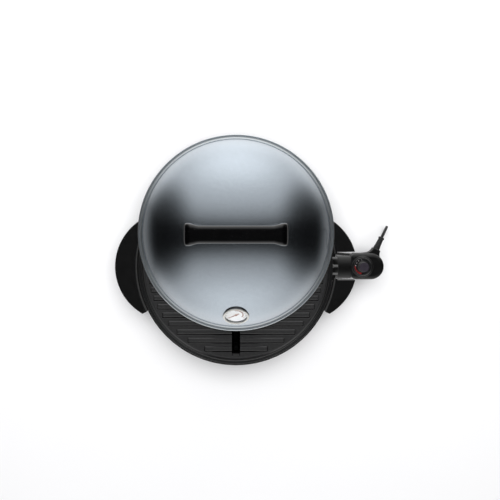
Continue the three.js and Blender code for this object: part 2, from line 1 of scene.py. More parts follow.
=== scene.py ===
import json
import math

import bmesh
import bpy
import numpy as np
from mathutils import Matrix, Vector

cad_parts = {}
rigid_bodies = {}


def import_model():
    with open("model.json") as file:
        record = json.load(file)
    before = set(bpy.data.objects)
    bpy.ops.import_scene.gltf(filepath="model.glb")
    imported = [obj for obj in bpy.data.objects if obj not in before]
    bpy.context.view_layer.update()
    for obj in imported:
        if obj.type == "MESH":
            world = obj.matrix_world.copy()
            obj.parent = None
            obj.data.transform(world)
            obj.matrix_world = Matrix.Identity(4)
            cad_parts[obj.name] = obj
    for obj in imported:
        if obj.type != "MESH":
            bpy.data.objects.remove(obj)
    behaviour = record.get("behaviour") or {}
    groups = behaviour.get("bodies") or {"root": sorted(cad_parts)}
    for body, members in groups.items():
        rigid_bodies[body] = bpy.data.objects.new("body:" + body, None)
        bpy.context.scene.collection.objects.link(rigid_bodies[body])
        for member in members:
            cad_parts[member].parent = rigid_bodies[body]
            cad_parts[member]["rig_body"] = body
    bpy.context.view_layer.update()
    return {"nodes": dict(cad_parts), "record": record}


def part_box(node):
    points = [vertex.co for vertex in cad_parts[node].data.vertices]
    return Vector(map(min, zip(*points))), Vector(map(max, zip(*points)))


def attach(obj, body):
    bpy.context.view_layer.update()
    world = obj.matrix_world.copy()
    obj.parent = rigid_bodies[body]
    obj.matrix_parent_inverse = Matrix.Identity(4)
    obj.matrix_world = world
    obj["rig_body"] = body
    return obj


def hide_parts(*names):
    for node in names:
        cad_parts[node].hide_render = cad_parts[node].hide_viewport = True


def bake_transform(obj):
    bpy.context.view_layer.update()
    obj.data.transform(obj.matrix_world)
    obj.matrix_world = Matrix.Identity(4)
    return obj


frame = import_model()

MM = 0.001


def add_object(name, data):
    made = bpy.data.objects.new(name, data)
    bpy.context.scene.collection.objects.link(made)
    return made


def middle(node):
    low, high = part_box(node)
    return (Vector(low) + Vector(high)) / 2


plate_axis = middle("grill_plate")
lid_shift = (middle("lid_dome").y - plate_axis.y) / MM
to_frame = Matrix.Translation((plate_axis.x, plate_axis.y, 0)) @ Matrix.Scale(MM, 4)

# Camera: straight down, over a point a little behind the plate's axis

RIM_TOP = 100
CAMERA_HEIGHT = 1.3          # above the plate's rim
VIEW_WIDTH = 1.175           # seen across the picture at the rim's height
NADIR_Y = 0.110              # where the camera stands, behind the plate's axis
SHIFT = (0.028, -0.0596)     # the picture's frame isn't centred under the camera
SENSOR = 36

camera_data = bpy.data.cameras.new("camera")
camera_data.sensor_width = SENSOR
camera_data.lens = SENSOR * CAMERA_HEIGHT / VIEW_WIDTH
camera_data.shift_x, camera_data.shift_y = SHIFT
camera = add_object("camera", camera_data)
camera.location = (plate_axis.x, plate_axis.y + NADIR_Y, CAMERA_HEIGHT + RIM_TOP * MM)
bpy.context.scene.camera = camera

# Mesh tools

HERE = Matrix.Identity(4)


def build(name, verts, faces, place):
    mesh = bpy.data.meshes.new(name)
    mesh.from_pydata([tuple(v) for v in verts], [], faces)
    mesh.transform(to_frame @ place)
    work = bmesh.new()
    work.from_mesh(mesh)
    bmesh.ops.remove_doubles(work, verts=work.verts, dist=1e-7)
    bmesh.ops.recalc_face_normals(work, faces=work.faces)
    work.to_mesh(mesh)
    work.free()
    return add_object(name, mesh)


def loft(name, rings, place=HERE):
    """A skin over rings of equal length, closed with a cap at each end."""
    count = len(rings[0])
    verts = [v for ring in rings for v in ring]
    faces = []
    for i in range(len(rings) - 1):
        a = i * count
        b = a + count
        for k in range(count):
            n = (k + 1) % count
            faces.append((a + k, a + n, b + n, b + k))
    faces.append(tuple(range(count)))
    faces.append(tuple(range(len(verts) - count, len(verts))))
    return build(name, verts, faces, place)


def rounded(points, steps=5):
    """A closed outline of (x, y) or (x, y, radius) points with those corners turned into arcs."""
    out = []
    for i, point in enumerate(points):
        here = Vector(point[:2])
        radius = point[2] if len(point) > 2 else 0
        if radius == 0:
            out.append(tuple(here))
            continue
        back = Vector(points[i - 1][:2]) - here
        on = Vector(points[(i + 1) % len(points)][:2]) - here
        half = back.angle(on) / 2
        reach = min(radius / math.tan(half), 0.49 * back.length, 0.49 * on.length)
        start = here + back.normalized() * reach
        end = here + on.normalized() * reach
        for k in range(steps + 1):
            t = k / steps
            # A rational curve with this middle weight is a true arc.
            mid = 2 * t * (1 - t) * math.sin(half)
            total = (1 - t) ** 2 + mid + t ** 2
            out.append(tuple(((1 - t) ** 2 * start + mid * here + t ** 2 * end) / total))
    return out


def lathe(name, profile, place, steps, wave=None):
    """A solid of revolution about +Z from a closed (radius, height) outline on one side of the axis."""
    verts = []
    faces = []
    count = len(profile)
    for i in range(steps):
        turn = 2 * math.pi * i / steps
        for r, z in profile:
            grown = r + wave(turn, r, z) if wave else r
            verts.append((grown * math.cos(turn), grown * math.sin(turn), z))
    for i in range(steps):
        a = i * count
        b = ((i + 1) % steps) * count
        for k in range(count):
            n = (k + 1) % count
            if profile[k][0] < 1e-6 and profile[n][0] < 1e-6:
                continue
            faces.append((a + k, b + k, b + n, a + n))
    return build(name, verts, faces, place)


def inset(outline, depth):
    """The outline moved inwards; it runs anticlockwise."""
    out = []
    for i, (x, y) in enumerate(outline):
        x0, y0 = outline[i - 1]
        x1, y1 = outline[(i + 1) % len(outline)]
        first = Vector((y0 - y, x - x0)).normalized()
        second = Vector((y - y1, x1 - x)).normalized()
        shift = (first + second) / max(1 + first.dot(second), 0.2)
        out.append((x + shift.x * depth, y + shift.y * depth))
    return out


def slab(name, outline, z0, z1, top=0, bottom=None, place=HERE, steps=4):
    """A flat outline raised from z0 to z1, with round edges of radius top and bottom."""
    bottom = top if bottom is None else bottom
    levels = []
    for radius, level, way in ((bottom, z0, 1), (top, z1, -1)):
        arc = []
        for k in range(steps + 1 if radius else 1):
            turn = math.pi / 2 * k / steps
            arc.append((radius * (1 - math.sin(turn)), level + way * radius * (1 - math.cos(turn))))
        levels += arc if way > 0 else arc[::-1]
    rings = [[(x, y, z) for x, y in inset(outline, depth)] for depth, z in levels]
    return loft(name, rings, place)


def arc(cx, cy, radius, start, end, steps):
    """Points on a circle from one angle to another, in degrees."""
    turns = [math.radians(start + (end - start) * k / steps) for k in range(steps + 1)]
    return [(cx + radius * math.cos(t), cy + radius * math.sin(t)) for t in turns]


def box_outline(x0, x1, y0, y1, radius=0, steps=5):
    corners = [(x0, y0, radius), (x1, y0, radius), (x1, y1, radius), (x0, y1, radius)]
    return rounded(corners, steps)


def soft_section(half_width, half_height, power, steps=72):
    """A rounded bar section: a superellipse, squarer as the power falls."""
    points = []
    for i in range(steps):
        turn = 2 * math.pi * i / steps
        c, s = math.cos(turn), math.sin(turn)
        points.append((half_width * math.copysign(abs(c) ** power, c),
                       half_height * math.copysign(abs(s) ** power, s)))
    return points


def smooth_path(points, per_span):
    """A Catmull-Rom curve through points."""
    p = [Vector(q) for q in points]
    p = [2 * p[0] - p[1]] + p + [2 * p[-1] - p[-2]]
    out = []
    for i in range(1, len(p) - 2):
        a, b, c, d = p[i - 1 : i + 3]
        for k in range(per_span):
            t = k / per_span
            out.append(
                0.5 * (2 * b + (c - a) * t + (2 * a - 5 * b + 4 * c - d) * t * t
                       + (3 * b - a - 3 * c + d) * t ** 3)
            )
    out.append(p[-2])
    return out


def frames_along(path):
    """A tangent, a side and an up direction at each point, turning as little as they can."""
    tangents = []
    for i in range(len(path)):
        tangents.append((path[min(i + 1, len(path) - 1)] - path[max(i - 1, 0)]).normalized())
    side = tangents[0].orthogonal().normalized()
    frames = []
    for tangent in tangents:
        side = (side - tangent * side.dot(tangent)).normalized()
        frames.append((tangent, side, tangent.cross(side)))
    return frames


def sweep(name, path, radius, sides):
    """A round bar along a path."""
    rings = []
    for point, (_, side, up) in zip(path, frames_along(path)):
        turns = [2 * math.pi * k / sides for k in range(sides)]
        rings.append([point + (side * math.cos(t) + up * math.sin(t)) * radius for t in turns])
    return loft(name, rings)


def bake(piece):
    """Turns a piece's modifiers into its mesh."""
    graph = bpy.context.evaluated_depsgraph_get()
    made = bpy.data.meshes.new_from_object(piece.evaluated_get(graph))
    piece.modifiers.clear()
    old = piece.data
    piece.data = made
    bpy.data.meshes.remove(old)


def combine(piece, operation, tools):
    for tool in tools:
        step = piece.modifiers.new("combine", "BOOLEAN")
        step.operation = operation
        step.solver = "EXACT"
        step.object = tool
    bake(piece)
    for tool in tools:
        mesh = tool.data
        bpy.data.objects.remove(tool)
        bpy.data.meshes.remove(mesh)
    if not piece.data.polygons:
        raise ValueError(f"nothing is left of {piece.name}")
    return piece


def cut(piece, *tools):
    return combine(piece, "DIFFERENCE", tools)


def join(piece, *tools):
    return combine(piece, "UNION", tools)


def at(x, y, z=0):
    return Matrix.Translation((x, y, z))


def along_x(x, y, z):
    """Lays a piece drawn along +Z along +X, from a point."""
    return at(x, y, z) @ Matrix.Rotation(math.pi / 2, 4, "Y")


def outward(degrees, z):
    """Lays a piece drawn along +Z so that it points away from the plate's axis."""
    return Matrix.Rotation(math.radians(degrees), 4, "Z") @ along_x(0, 0, z)


def facing_x(y=0, z=0):
    """Stands an outline upright, with its x along Y and its depth along X."""
    return Matrix(((0, 0, 1, 0), (1, 0, 0, y), (0, 1, 0, z), (0, 0, 0, 1)))


def facing_y(y=0):
    """Stands an outline upright, with its x along X and its depth along -Y."""
    return Matrix(((1, 0, 0, 0), (0, 0, -1, y), (0, 1, 0, 0), (0, 0, 0, 1)))


def block(x0, x1, y0, y1, z0, z1):
    return slab("tool", box_outline(x0, x1, y0, y1), z0, z1)


def rod(radius, z0, z1, place=HERE, steps=32):
    return lathe("tool", [(0, z0), (radius, z0), (radius, z1), (0, z1)], place, steps)


def merge(pieces):
    """Puts several pieces into the first one's mesh."""
    with bpy.context.temp_override(active_object=pieces[0], selected_editable_objects=pieces):
        bpy.ops.object.join()
    return pieces[0]


def ease(value, start, end):
    """From 0 at the start to 1 at the end, level at both."""
    t = min(max((value - start) / (end - start), 0), 1)
    return t * t * (3 - 2 * t)


# Materials: one for each slot of the record

PLATE_FLOOR = 89
RIB_TOP = 93.4


def map_range(tree, value, low, high, start, end):
    """Stretches a value so that start to end becomes low to high."""
    ranged = tree.nodes.new("ShaderNodeMapRange")
    for key, number in (("From Min", start), ("From Max", end), ("To Min", low), ("To Max", high)):
        ranged.inputs[key].default_value = number
    tree.links.new(value, ranged.inputs["Value"])
    return ranged


def calculate(tree, operation, *values):
    """A Math node fed with sockets and plain numbers."""
    step = tree.nodes.new("ShaderNodeMath")
    step.operation = operation
    for value, socket in zip(values, step.inputs):
        if isinstance(value, float):
            socket.default_value = value
        else:
            tree.links.new(value, socket)
    return step.outputs[0]


class Finish:
    """A Principled material whose textures lie in the piece's own coordinates."""

    def __init__(self, name, color, roughness, metallic=0.0):
        self.material = bpy.data.materials.new(name)
        self.material.use_nodes = True
        self.tree = self.material.node_tree
        self.nodes = self.tree.nodes
        self.links = self.tree.links
        self.shader = self.nodes["Principled BSDF"]
        self.color = color
        self.place = self.nodes.new("ShaderNodeTexCoord").outputs["Object"]
        self.set(Base_Color=(*color, 1), Roughness=roughness, Metallic=metallic)

    def set(self, **sockets):
        for key, value in sockets.items():
            self.shader.inputs[key.replace("_", " ")].default_value = value

    def noise(self, size, detail=3.0, stretch=(1, 1, 1)):
        """Cloudy noise from 0 to 1 with features of a size in millimetres."""
        placed = self.nodes.new("ShaderNodeMapping")
        placed.inputs["Scale"].default_value = stretch
        self.links.new(self.place, placed.inputs["Vector"])
        texture = self.nodes.new("ShaderNodeTexNoise")
        texture.inputs["Scale"].default_value = 1 / (size * MM)
        texture.inputs["Detail"].default_value = detail
        self.links.new(placed.outputs["Vector"], texture.inputs["Vector"])
        return texture.outputs["Fac"]

    def flakes(self, size):
        """A random value from 0 to 1 in each small cell."""
        cells = self.nodes.new("ShaderNodeTexVoronoi")
        cells.inputs["Scale"].default_value = 1 / (size * MM)
        self.links.new(self.place, cells.inputs["Vector"])
        split = self.nodes.new("ShaderNodeSeparateColor")
        self.links.new(cells.outputs["Color"], split.inputs["Color"])
        return split.outputs["Red"]

    def span(self, value, low, high, start=0.3, end=0.7):
        return map_range(self.tree, value, low, high, start, end).outputs["Result"]

    def rough(self, value, low, high):
        self.links.new(self.span(value, low, high), self.shader.inputs["Roughness"])

    def color_mix(self, factor, second):
        """Feeds the base colour from a mix and returns the mix's first colour socket."""
        mix = self.nodes.new("ShaderNodeMix")
        mix.data_type = "RGBA"
        first, other = [socket for socket in mix.inputs if socket.type == "RGBA"]
        other.default_value = (*second, 1)
        self.links.new(factor, mix.inputs["Factor"])
        result = next(socket for socket in mix.outputs if socket.type == "RGBA")
        self.links.new(result, self.shader.inputs["Base Color"])
        return first

    def tint(self, value, dark, light, start=0.3, end=0.7):
        """Varies the colour between two multiples of itself."""
        bright = [min(c * light, 1) for c in self.color]
        first = self.color_mix(self.span(value, 0, 1, start, end), bright)
        first.default_value = (*[c * dark for c in self.color], 1)

    def by_height(self, low, high):
        """From 0 at one height of the piece at rest to 1 at another."""
        level = self.nodes.new("ShaderNodeSeparateXYZ")
        self.links.new(self.place, level.inputs["Vector"])
        return self.span(level.outputs["Z"], 0, 1, low * MM, high * MM)

    def overlay(self, factor, color):
        """Mixes the colour so far towards another one."""
        so_far = self.shader.inputs["Base Color"].links[0].from_socket
        self.links.new(so_far, self.color_mix(factor, color))

    def paint_shade(self, factor):
        """Paints shade: takes the colour and the shine away, as shade does in a corner."""
        self.overlay(factor, (0.0006, 0.0006, 0.0006))
        self.links.new(factor, self.shader.inputs["Metallic"])

    def bump(self, value, depth, strength):
        """Raises the surface by up to a depth in millimetres."""
        relief = self.nodes.new("ShaderNodeBump")
        relief.inputs["Distance"].default_value = depth * MM
        relief.inputs["Strength"].default_value = strength
        self.links.new(value, relief.inputs["Height"])
        self.links.new(relief.outputs["Normal"], self.shader.inputs["Normal"])


BLACK = (0.0016, 0.0016, 0.0017)


def moulded(name, color, roughness, grain=0.5, depth=0.03):
    """Moulded plastic or rubber with a fine grain."""
    made = Finish(name, color, roughness)
    made.tint(made.noise(30), 0.85, 1.25)
    made.rough(made.noise(8), roughness - 0.05, roughness + 0.07)
    made.bump(made.noise(grain, 2), depth, 0.6)
    made.set(Specular_IOR_Level=0.75)
    return made


def metal(name, color, roughness, grain=(1, 1, 1), spread=0.08):
    """Bare metal, brushed where the grain is stretched."""
    made = Finish(name, color, roughness, 1.0)
    made.tint(made.noise(12), 0.9, 1.08)
    made.rough(made.noise(1.2, 3, grain), roughness - spread, roughness + spread)
    made.bump(made.noise(0.8, 2, grain), 0.006, 0.5)
    return made


def lid_paint():
    """Metallic paint, with the rolled rim paler and more satin than the dome."""
    made = Finish("lid_paint", (0.57, 0.64, 0.71), 0.25, 1.0)
    made.set(Coat_Weight=1.0, Coat_Roughness=0.05)
    made.tint(made.flakes(0.35), 0.8, 1.25, 0, 1)
    made.bump(made.noise(9, 1), 0.012, 0.3)
    rim = made.by_height(109, 106.5)
    made.overlay(rim, (0.9, 0.96, 1.0))
    glossy = made.span(made.noise(5), 0.23, 0.27)
    satin = calculate(made.tree, "MULTIPLY_ADD", rim, 0.12, glossy)
    made.links.new(satin, made.shader.inputs["Roughness"])
    return made


def nonstick():
    """Dark grey with pale flecks, darker on the rim, and painted shade that makes it black down in the
    grooves and the trough.
    """
    made = Finish("nonstick", (0.019, 0.019, 0.0195), 0.5)
    made.tint(made.flakes(0.5), 0.9, 3.2, 0.9, 1)
    made.overlay(made.by_height(RIB_TOP + 0.8, RIB_TOP + 2.2), (0.004, 0.004, 0.0042))
    # Painted shade: black and shineless below the plate's floor, in the grooves and the trough.
    made.paint_shade(made.by_height(PLATE_FLOOR - 0.4, PLATE_FLOOR - 1.6))
    made.rough(made.noise(2), 0.34, 0.46)
    made.bump(made.noise(0.6, 3), 0.03, 0.6)
    return made


def quiet_plastic(name, roughness, level):
    """Black plastic with a chosen amount of shine."""
    made = moulded(name, BLACK, roughness)
    made.set(Specular_IOR_Level=level)
    return made


def base_plastic():
    """Black plastic, with painted shade that makes it black at the bottom of the bowl."""
    made = quiet_plastic("base_plastic", 0.42, 0.45)
    # Painted shade: black and shineless low in the bowl, from its floor down.
    made.paint_shade(made.by_height(50, 42))
    return made


def knob_plastic():
    """Grey on its top and black round its side."""
    made = moulded("knob_plastic", (0.024, 0.02, 0.028), 0.42)
    made.set(Specular_IOR_Level=0.3)
    made.overlay(made.by_height(106.8, 106), (0.0012, 0.0012, 0.0013))
    return made


def plated_metal():
    """Bright on the lid and darker low down, at the terminals."""
    made = metal("plated_metal", (0.96, 0.93, 0.88), 0.3, spread=0.05)
    made.overlay(made.by_height(140, 120), (0.2, 0.2, 0.2))
    return made


def gloss_black():
    """Lacquered black plastic."""
    made = moulded("gloss_black", (0.001, 0.001, 0.0012), 0.14, 2.0, 0.004)
    made.set(Coat_Weight=1.0, Coat_Roughness=0.06, Coat_IOR=1.8)
    return made


def gauge_glass():
    made = Finish("gauge_glass", (0.96, 0.98, 1.0), 0.03)
    made.set(Transmission_Weight=1.0, IOR=1.45)
    made.rough(made.noise(6), 0.015, 0.05)
    return made


finishes = {
    "base_plastic": base_plastic(),
    "leg_plastic": moulded("leg_plastic", BLACK, 0.46),
    "foot_rubber": moulded("foot_rubber", (0.016, 0.016, 0.016), 0.75, 0.8, 0.05),
    "fastener_steel": metal("fastener_steel", (0.52, 0.52, 0.53), 0.3),
    "bracket_steel": metal("bracket_steel", (0.45, 0.45, 0.46), 0.34, (0.1, 1, 1)),
    # The heat reflector is near-black as painted shade, so the inside seen through the plate's slot reads
    # dark.
    "reflector_metal": metal("reflector_metal", (0.008, 0.008, 0.0084), 0.42),
    "element_sheath": metal("element_sheath", (0.12, 0.12, 0.12), 0.5, spread=0.12),
    "plated_metal": plated_metal(),
    "nonstick": nonstick(),
    "lid_paint": lid_paint(),
    "gloss_black": gloss_black(),
    "spacer_plastic": moulded("spacer_plastic", (0.012, 0.012, 0.012), 0.5),
    "dial_face": moulded("dial_face", (0.95, 0.92, 0.88), 0.45, 1.0, 0.01),
    "pointer_paint": moulded("pointer_paint", (0.34, 0.17, 0.12), 0.4, 1.0, 0.01),
    "gauge_glass": gauge_glass(),
    "controller_plastic": quiet_plastic("controller_plastic", 0.36, 0.6),
    "scale_plastic": moulded("scale_plastic", (0.004, 0.004, 0.0045), 0.3),
    "knob_plastic": knob_plastic(),
    "contact_brass": metal("contact_brass", (0.62, 0.47, 0.22), 0.28),
    "shaft_steel": metal("shaft_steel", (0.5, 0.5, 0.5), 0.28, (1, 1, 0.1)),
    "cord_rubber": moulded("cord_rubber", (0.006, 0.006, 0.0065), 0.5, 0.4, 0.02),
}
slot_of = {part["node"]: part["material_slot"] for part in frame["record"]["subparts"]}


SHARP_ANGLE = 34             # degrees; flatter edges than this are shaded smooth


def dress(piece, material):
    """Gives a piece its material and smooth shading between its sharp edges."""
    mesh = piece.data
    mesh.materials.clear()
    mesh.materials.append(material)
    mesh.polygons.foreach_set("use_smooth", [True] * len(mesh.polygons))
    mesh.set_sharp_from_angle(angle=math.radians(SHARP_ANGLE))
    even = piece.modifiers.new("even_shading", "WEIGHTED_NORMAL")
    even.keep_sharp = True


def settle(piece, node):
    """The piece stands for a CAD node, and takes its body, slot and material from it."""
    slot = slot_of[node]
    dress(piece, finishes[slot].material)
    piece.name = f"{node}_shape"
    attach(piece, frame["nodes"][node]["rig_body"])
    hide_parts(node)
    return piece


def turned(node, outline, place, steps):
    """A CAD node's shape as a solid of revolution, from an outline with rounded corners."""
    return settle(lathe(node, rounded(outline), place, steps), node)


def add_print(piece, name, body, material):
    """A printed mark, which stands for no CAD node."""
    dress(piece, material)
    piece.name = name
    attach(piece, body)


# Lead: its free stretch, its coil under the base and its plug

CORD_ROUTE = [  # metres from the plate's axis: down to the table, then under the base
    (0.3506, 0.0693, 0.070), (0.3549, 0.0773, 0.0684), (0.3596, 0.0843, 0.0639), (0.3639, 0.0896, 0.057),
    (0.3677, 0.0923, 0.0485), (0.3706, 0.0932, 0.039), (0.373, 0.0927, 0.0294), (0.3747, 0.0905, 0.0205),
    (0.3749, 0.0862, 0.0127), (0.3735, 0.0800, 0.0069), (0.3708, 0.0728, 0.0038), (0.3687, 0.0680, 0.0034),
    (0.3642, 0.0578, 0.0034), (0.3592, 0.0462, 0.0034), (0.3488, 0.0324, 0.0034), (0.3314, 0.0256, 0.0034),
    (0.310, 0.0235, 0.0034), (0.287, 0.0236, 0.0034), (0.262, 0.0252, 0.0034), (0.238, 0.0284, 0.0034),
    (0.214, 0.033, 0.0035), (0.190, 0.038, 0.004), (0.168, 0.0422, 0.0045), (0.147, 0.0443, 0.0047),
]
CORD_RADIUS = 3.25
COIL_X = 120
TURN_RADIUS = 44.5
TURN_STEP = 6.7              # between turns and between the two layers
COIL_LOW = 4.65
PLUG_X = 148
PLUG_Z = 13.4


def coil_points():
    """Three turns inwards on the table, then two and a half outwards on top of them."""
    first, last = 90, 2070
    steps = 264
    points = []
    for i in range(1, steps + 1):
        turn = first + (last - first) * i / steps
        inner = ease(turn, 400, 440) + ease(turn, 760, 800)
        outer = ease(turn, 1440, 1470) + ease(turn, 1800, 1830)
        radius = TURN_RADIUS - TURN_STEP * (inner - outer)
        height = COIL_LOW + TURN_STEP * ease(turn, 1110, 1140)
        angle = math.radians(turn)
        points.append(Vector((COIL_X + radius * math.cos(angle), radius * math.sin(angle), height)))
    return points


def build_lead():
    free = smooth_path([Vector(p) / MM for p in CORD_ROUTE], 6)
    coil_start = Vector((COIL_X + 12, TURN_RADIUS, COIL_LOW))
    top = COIL_LOW + TURN_STEP
    tail = [
        Vector((COIL_X + 9, -TURN_RADIUS, top + 0.3)),
        Vector((COIL_X + 18, -TURN_RADIUS, top + 1.2)),
        Vector((PLUG_X + 1, -TURN_RADIUS, PLUG_Z - 0.1)),
    ]
    path = [*free, coil_start, *coil_points(), *tail]
    cord = sweep("power_cord_shape", path, CORD_RADIUS, 14)
    dress(cord, finishes["cord_rubber"].material)
    framed = [to_frame @ p for p in path]
    length = sum((b - a).length for a, b in zip(framed, framed[1:]))
    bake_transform(cord)
    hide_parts("power_cord", "cord_coil")
    return cord, framed, length


def relief_wave(z):
    """Rings along the strain relief."""
    depth = 0.35
    pitch = 3.6
    return depth * math.cos(2 * math.pi * z / pitch) - depth if 8 < z < 26.5 else 0


# Lays a piece drawn along +Z along the controller's neck, which points outwards and to the rear.
neck = Matrix(((-0.9, 0, 0.436, 336.7), (0.436, 0, 0.9, 40.7), (0, -1, 0, 70), (0, 0, 0, 1)))


def build_relief():
    skin = [(7.6 - 1.5 * (z - 3) / 25 + relief_wave(z), z) for z in np.linspace(3, 27, 70)]
    collar = [(6.1, 27.4), (7, 27.8), (7.2, 28.8), (7, 30.2), (5.8, 31)]
    profile = [(0, -14), (6, -14), (6, 0.3), (7.2, 0.3), (7.6, 0.8), *skin, *collar, (3.6, 31), (0, 30)]
    return turned("strain_relief", profile, neck, 48)


def build_tie():
    """A flat strap round the coil's turns."""
    thickness = 0.9
    low = COIL_LOW - CORD_RADIUS - thickness
    high = COIL_LOW + TURN_STEP + CORD_RADIUS + thickness
    outer_turn = COIL_X - TURN_RADIUS
    x0 = outer_turn - CORD_RADIUS - 1
    x1 = outer_turn + 2 * TURN_STEP + CORD_RADIUS + 1
    outer = box_outline(x0, x1, low, high, 4)
    strap = slab("strap", outer, -4, 4, 0.3, place=facing_y())
    cut(strap, slab("tool", inset(outer, thickness), -9, 9, place=facing_y()))
    return settle(strap, "cord_tie")


def build_plug_body():
    """A moulded plug with a ringed tail and raised lines on its sides."""
    grooves = []
    for k in range(5):
        x = 153 + 4 * k
        width = 5.3 + 2.8 * k / 4
        grooves += [(width, x), (width - 1.1, x + 0.6), (width - 1.1, x + 1.5), (width + 0.6, x + 2.1)]
    profile = rounded([(0, 207), (0, 148), (4.6, 148), *grooves, (12.6, 176, 2), (13.1, 180, 2),
                       (13.1, 201, 3), (11.5, 207, 1.5)])
    body = lathe("plug", profile, along_x(0, -TURN_RADIUS, PLUG_Z), 64)
    grip = []
    for side in (-1, 1):
        y = -TURN_RADIUS + side * 12.4
        for k in range(4):
            z = PLUG_Z - 5 + 3 * k
            grip.append(block(180, 200, y - 0.8, y + 0.8, z, z + 1))
    return settle(cut(body, *grip), "plug_body")


def build_plug():
    pieces = [build_plug_body()]
    for name, side in (("plug_blade_left", -1), ("plug_blade_right", 1)):
        y = -TURN_RADIUS + side * 6.35
        outline = box_outline(207.3, 225, PLUG_Z + 0.6, PLUG_Z + 7, 1.6)
        blade = slab(name, outline, -0.75, 0.75, 0.25, place=facing_y(y))
        sideways = at(220.5, y, PLUG_Z + 3.8) @ Matrix.Rotation(math.pi / 2, 4, "X")
        pieces.append(settle(cut(blade, rod(1.6, -3, 3, sideways)), name))
    pin = [(0, 207.3), (2.4, 207.3), (2.4, 228, 2.2), (0, 228)]
    pieces.append(turned("plug_ground_pin", pin, along_x(0, -TURN_RADIUS, PLUG_Z - 6), 32))
    return pieces


cord, cord_path, cord_length = build_lead()
on_cord = [build_relief(), build_tie(), *build_plug()]

# Grill plate

PLATE_CLEAR = 97             # above the ribs, where the plate's cutting tools end
RIB_CIRCLE = 207.5           # the radius on which the ribs end
RIB_HALF = 4.9
RIB_PITCH = 20


def trough_ring(y, half, floor, foot):
    """A section of the fat trough: half its width at the top and, at the foot, at its floor."""
    shoulder = max(PLATE_FLOOR - 1.6, floor)
    return [(-half, y, PLATE_CLEAR), (-half, y, shoulder), (-foot, y, floor), (foot, y, floor),
            (half, y, shoulder), (half, y, PLATE_CLEAR)]


def rib_groove(half, y):
    """A narrow groove in front of a rib and round its ends."""
    front = y - RIB_HALF - 3.3
    foot = y - RIB_HALF
    back = y + RIB_HALF
    end = half + 2
    return [(-end, front), (end, front), (end, back), (half, back), (half, foot), (-half, foot),
            (-half, back), (-end, back)]


def build_plate():
    disc = lathe("plate", rounded([
        (0, PLATE_FLOOR), (0, 84.2), (209, 84.2, 8), (216.2, 86, 3), (221.6, 94.7, 1), (228, 94.7, 0.6),
        (228, 98.4, 1.4), (226.4, 100.2, 1.2), (224.6, 98.2, 0.6), (223.6, 95.9, 0.5), (222, 95.9, 0.5),
        (221, 98.2, 0.5), (219.8, 99.4, 0.9), (218.6, 97.6, 1.2), (216.4, 89, 3),
    ]), HERE, 180)
    ribs = []
    grooves = []
    for i in range(-10, 10):
        y = 6 + RIB_PITCH * i
        half = math.sqrt(RIB_CIRCLE ** 2 - y ** 2)
        plan = box_outline(-half, half, y - RIB_HALF, y + RIB_HALF)
        ribs.append(slab("rib", plan, 86, RIB_TOP, 2.2, 0, steps=5))
        grooves.append(slab("tool", rib_groove(half, y), PLATE_FLOOR - 2.6, PLATE_CLEAR))
    join(disc, *ribs)
    cut(disc, *grooves)
    trough = [trough_ring(-211, 7.6, 89.2, 4.6), trough_ring(-204, 8.8, 87.4, 4.8),
              trough_ring(-197, 9.5, 85.6, 4.8), trough_ring(196, 9.5, 85.6, 4.8),
              trough_ring(206, 8, 89.2, 4.6)]
    cut(disc, loft("tool", trough))
    cut(disc, *[block(x - 0.8, x + 0.8, -212, 206, PLATE_FLOOR - 3.4, PLATE_CLEAR) for x in (-9, 9)])
    cut(disc, slab("tool", box_outline(-4.2, 4.2, -198, -124, 1.5), 70, 110))
    settle(disc, "grill_plate")


build_plate()

# Base

BAY = (200, 245, -33, 33, 60, 112)      # the bowl's opening for the controller
SCREW_TURNS = {  # degrees round the plate's axis
    "right_handle_screw_front": -22, "right_handle_screw_rear": 22,
    "left_handle_screw_rear": 158, "left_handle_screw_front": 202,
}
SCREW_Z = 59


def screw(name, place, head, head_height, shank, length):
    """A pan-head screw with a cross recess, driven along +Z from the underside of its head."""
    profile = rounded([(0, -head_height), (head, -head_height, 0.75 * head_height), (head, 0, 0.2),
                       (shank, 0, 0.2), (shank, length - 2, 0.5), (0.3 * shank, length), (0, length)])
    made = lathe(name, profile, place, 40)
    slots = []
    for turn in (0, math.pi / 2):
        bar = slab("tool", box_outline(-0.62 * head, 0.62 * head, -0.13 * head, 0.13 * head),
                   -head_height - 1, -0.45 * head_height, place=place @ Matrix.Rotation(turn, 4, "Z"))
        slots.append(bar)
    return settle(cut(made, *slots), name)


def build_bowl():
    shell = lathe("bowl", rounded([
        (0, 39.3), (0, 36), (170, 36, 30), (196, 43, 30), (216, 59, 26), (227, 79, 26), (231, 92, 12),
        (232, 97.6, 1.2), (229, 97.6, 0.8), (229, 94.4, 0.5), (222.5, 94.4), (222.5, 91), (227.3, 91, 1),
        (223.6, 80, 26), (213, 61.5, 26), (194.5, 46, 26), (169.5, 39.3, 26),
    ], 7), HERE, 160)
    bores = [rod(2.5, 200, 235, outward(turn, SCREW_Z)) for turn in SCREW_TURNS.values()]
    cut(shell, block(*BAY), slab("tool", box_outline(-24, 24, -200, -72, 6), 30, 60), *bores)
    settle(shell, "base_bowl")


def crescent(turn):
    """A side handle: a grip with an arc outside and one round the bowl, and a web below it."""
    reach = 60
    inner = 27
    outline = arc(157.4, 0, 131, -reach, reach, 60) + arc(0, 0, 239.5, inner, -inner, 48)
    web = arc(0, 0, 246, -inner, inner, 32) + arc(0, 0, 218.6, inner, -inner, 32)
    place = Matrix.Rotation(math.radians(turn), 4, "Z")
    grip = slab("handle", outline, 60, 84, 3.4, place=place, steps=5)
    return join(grip, slab("tool", web, 56, 61.6, place=place))


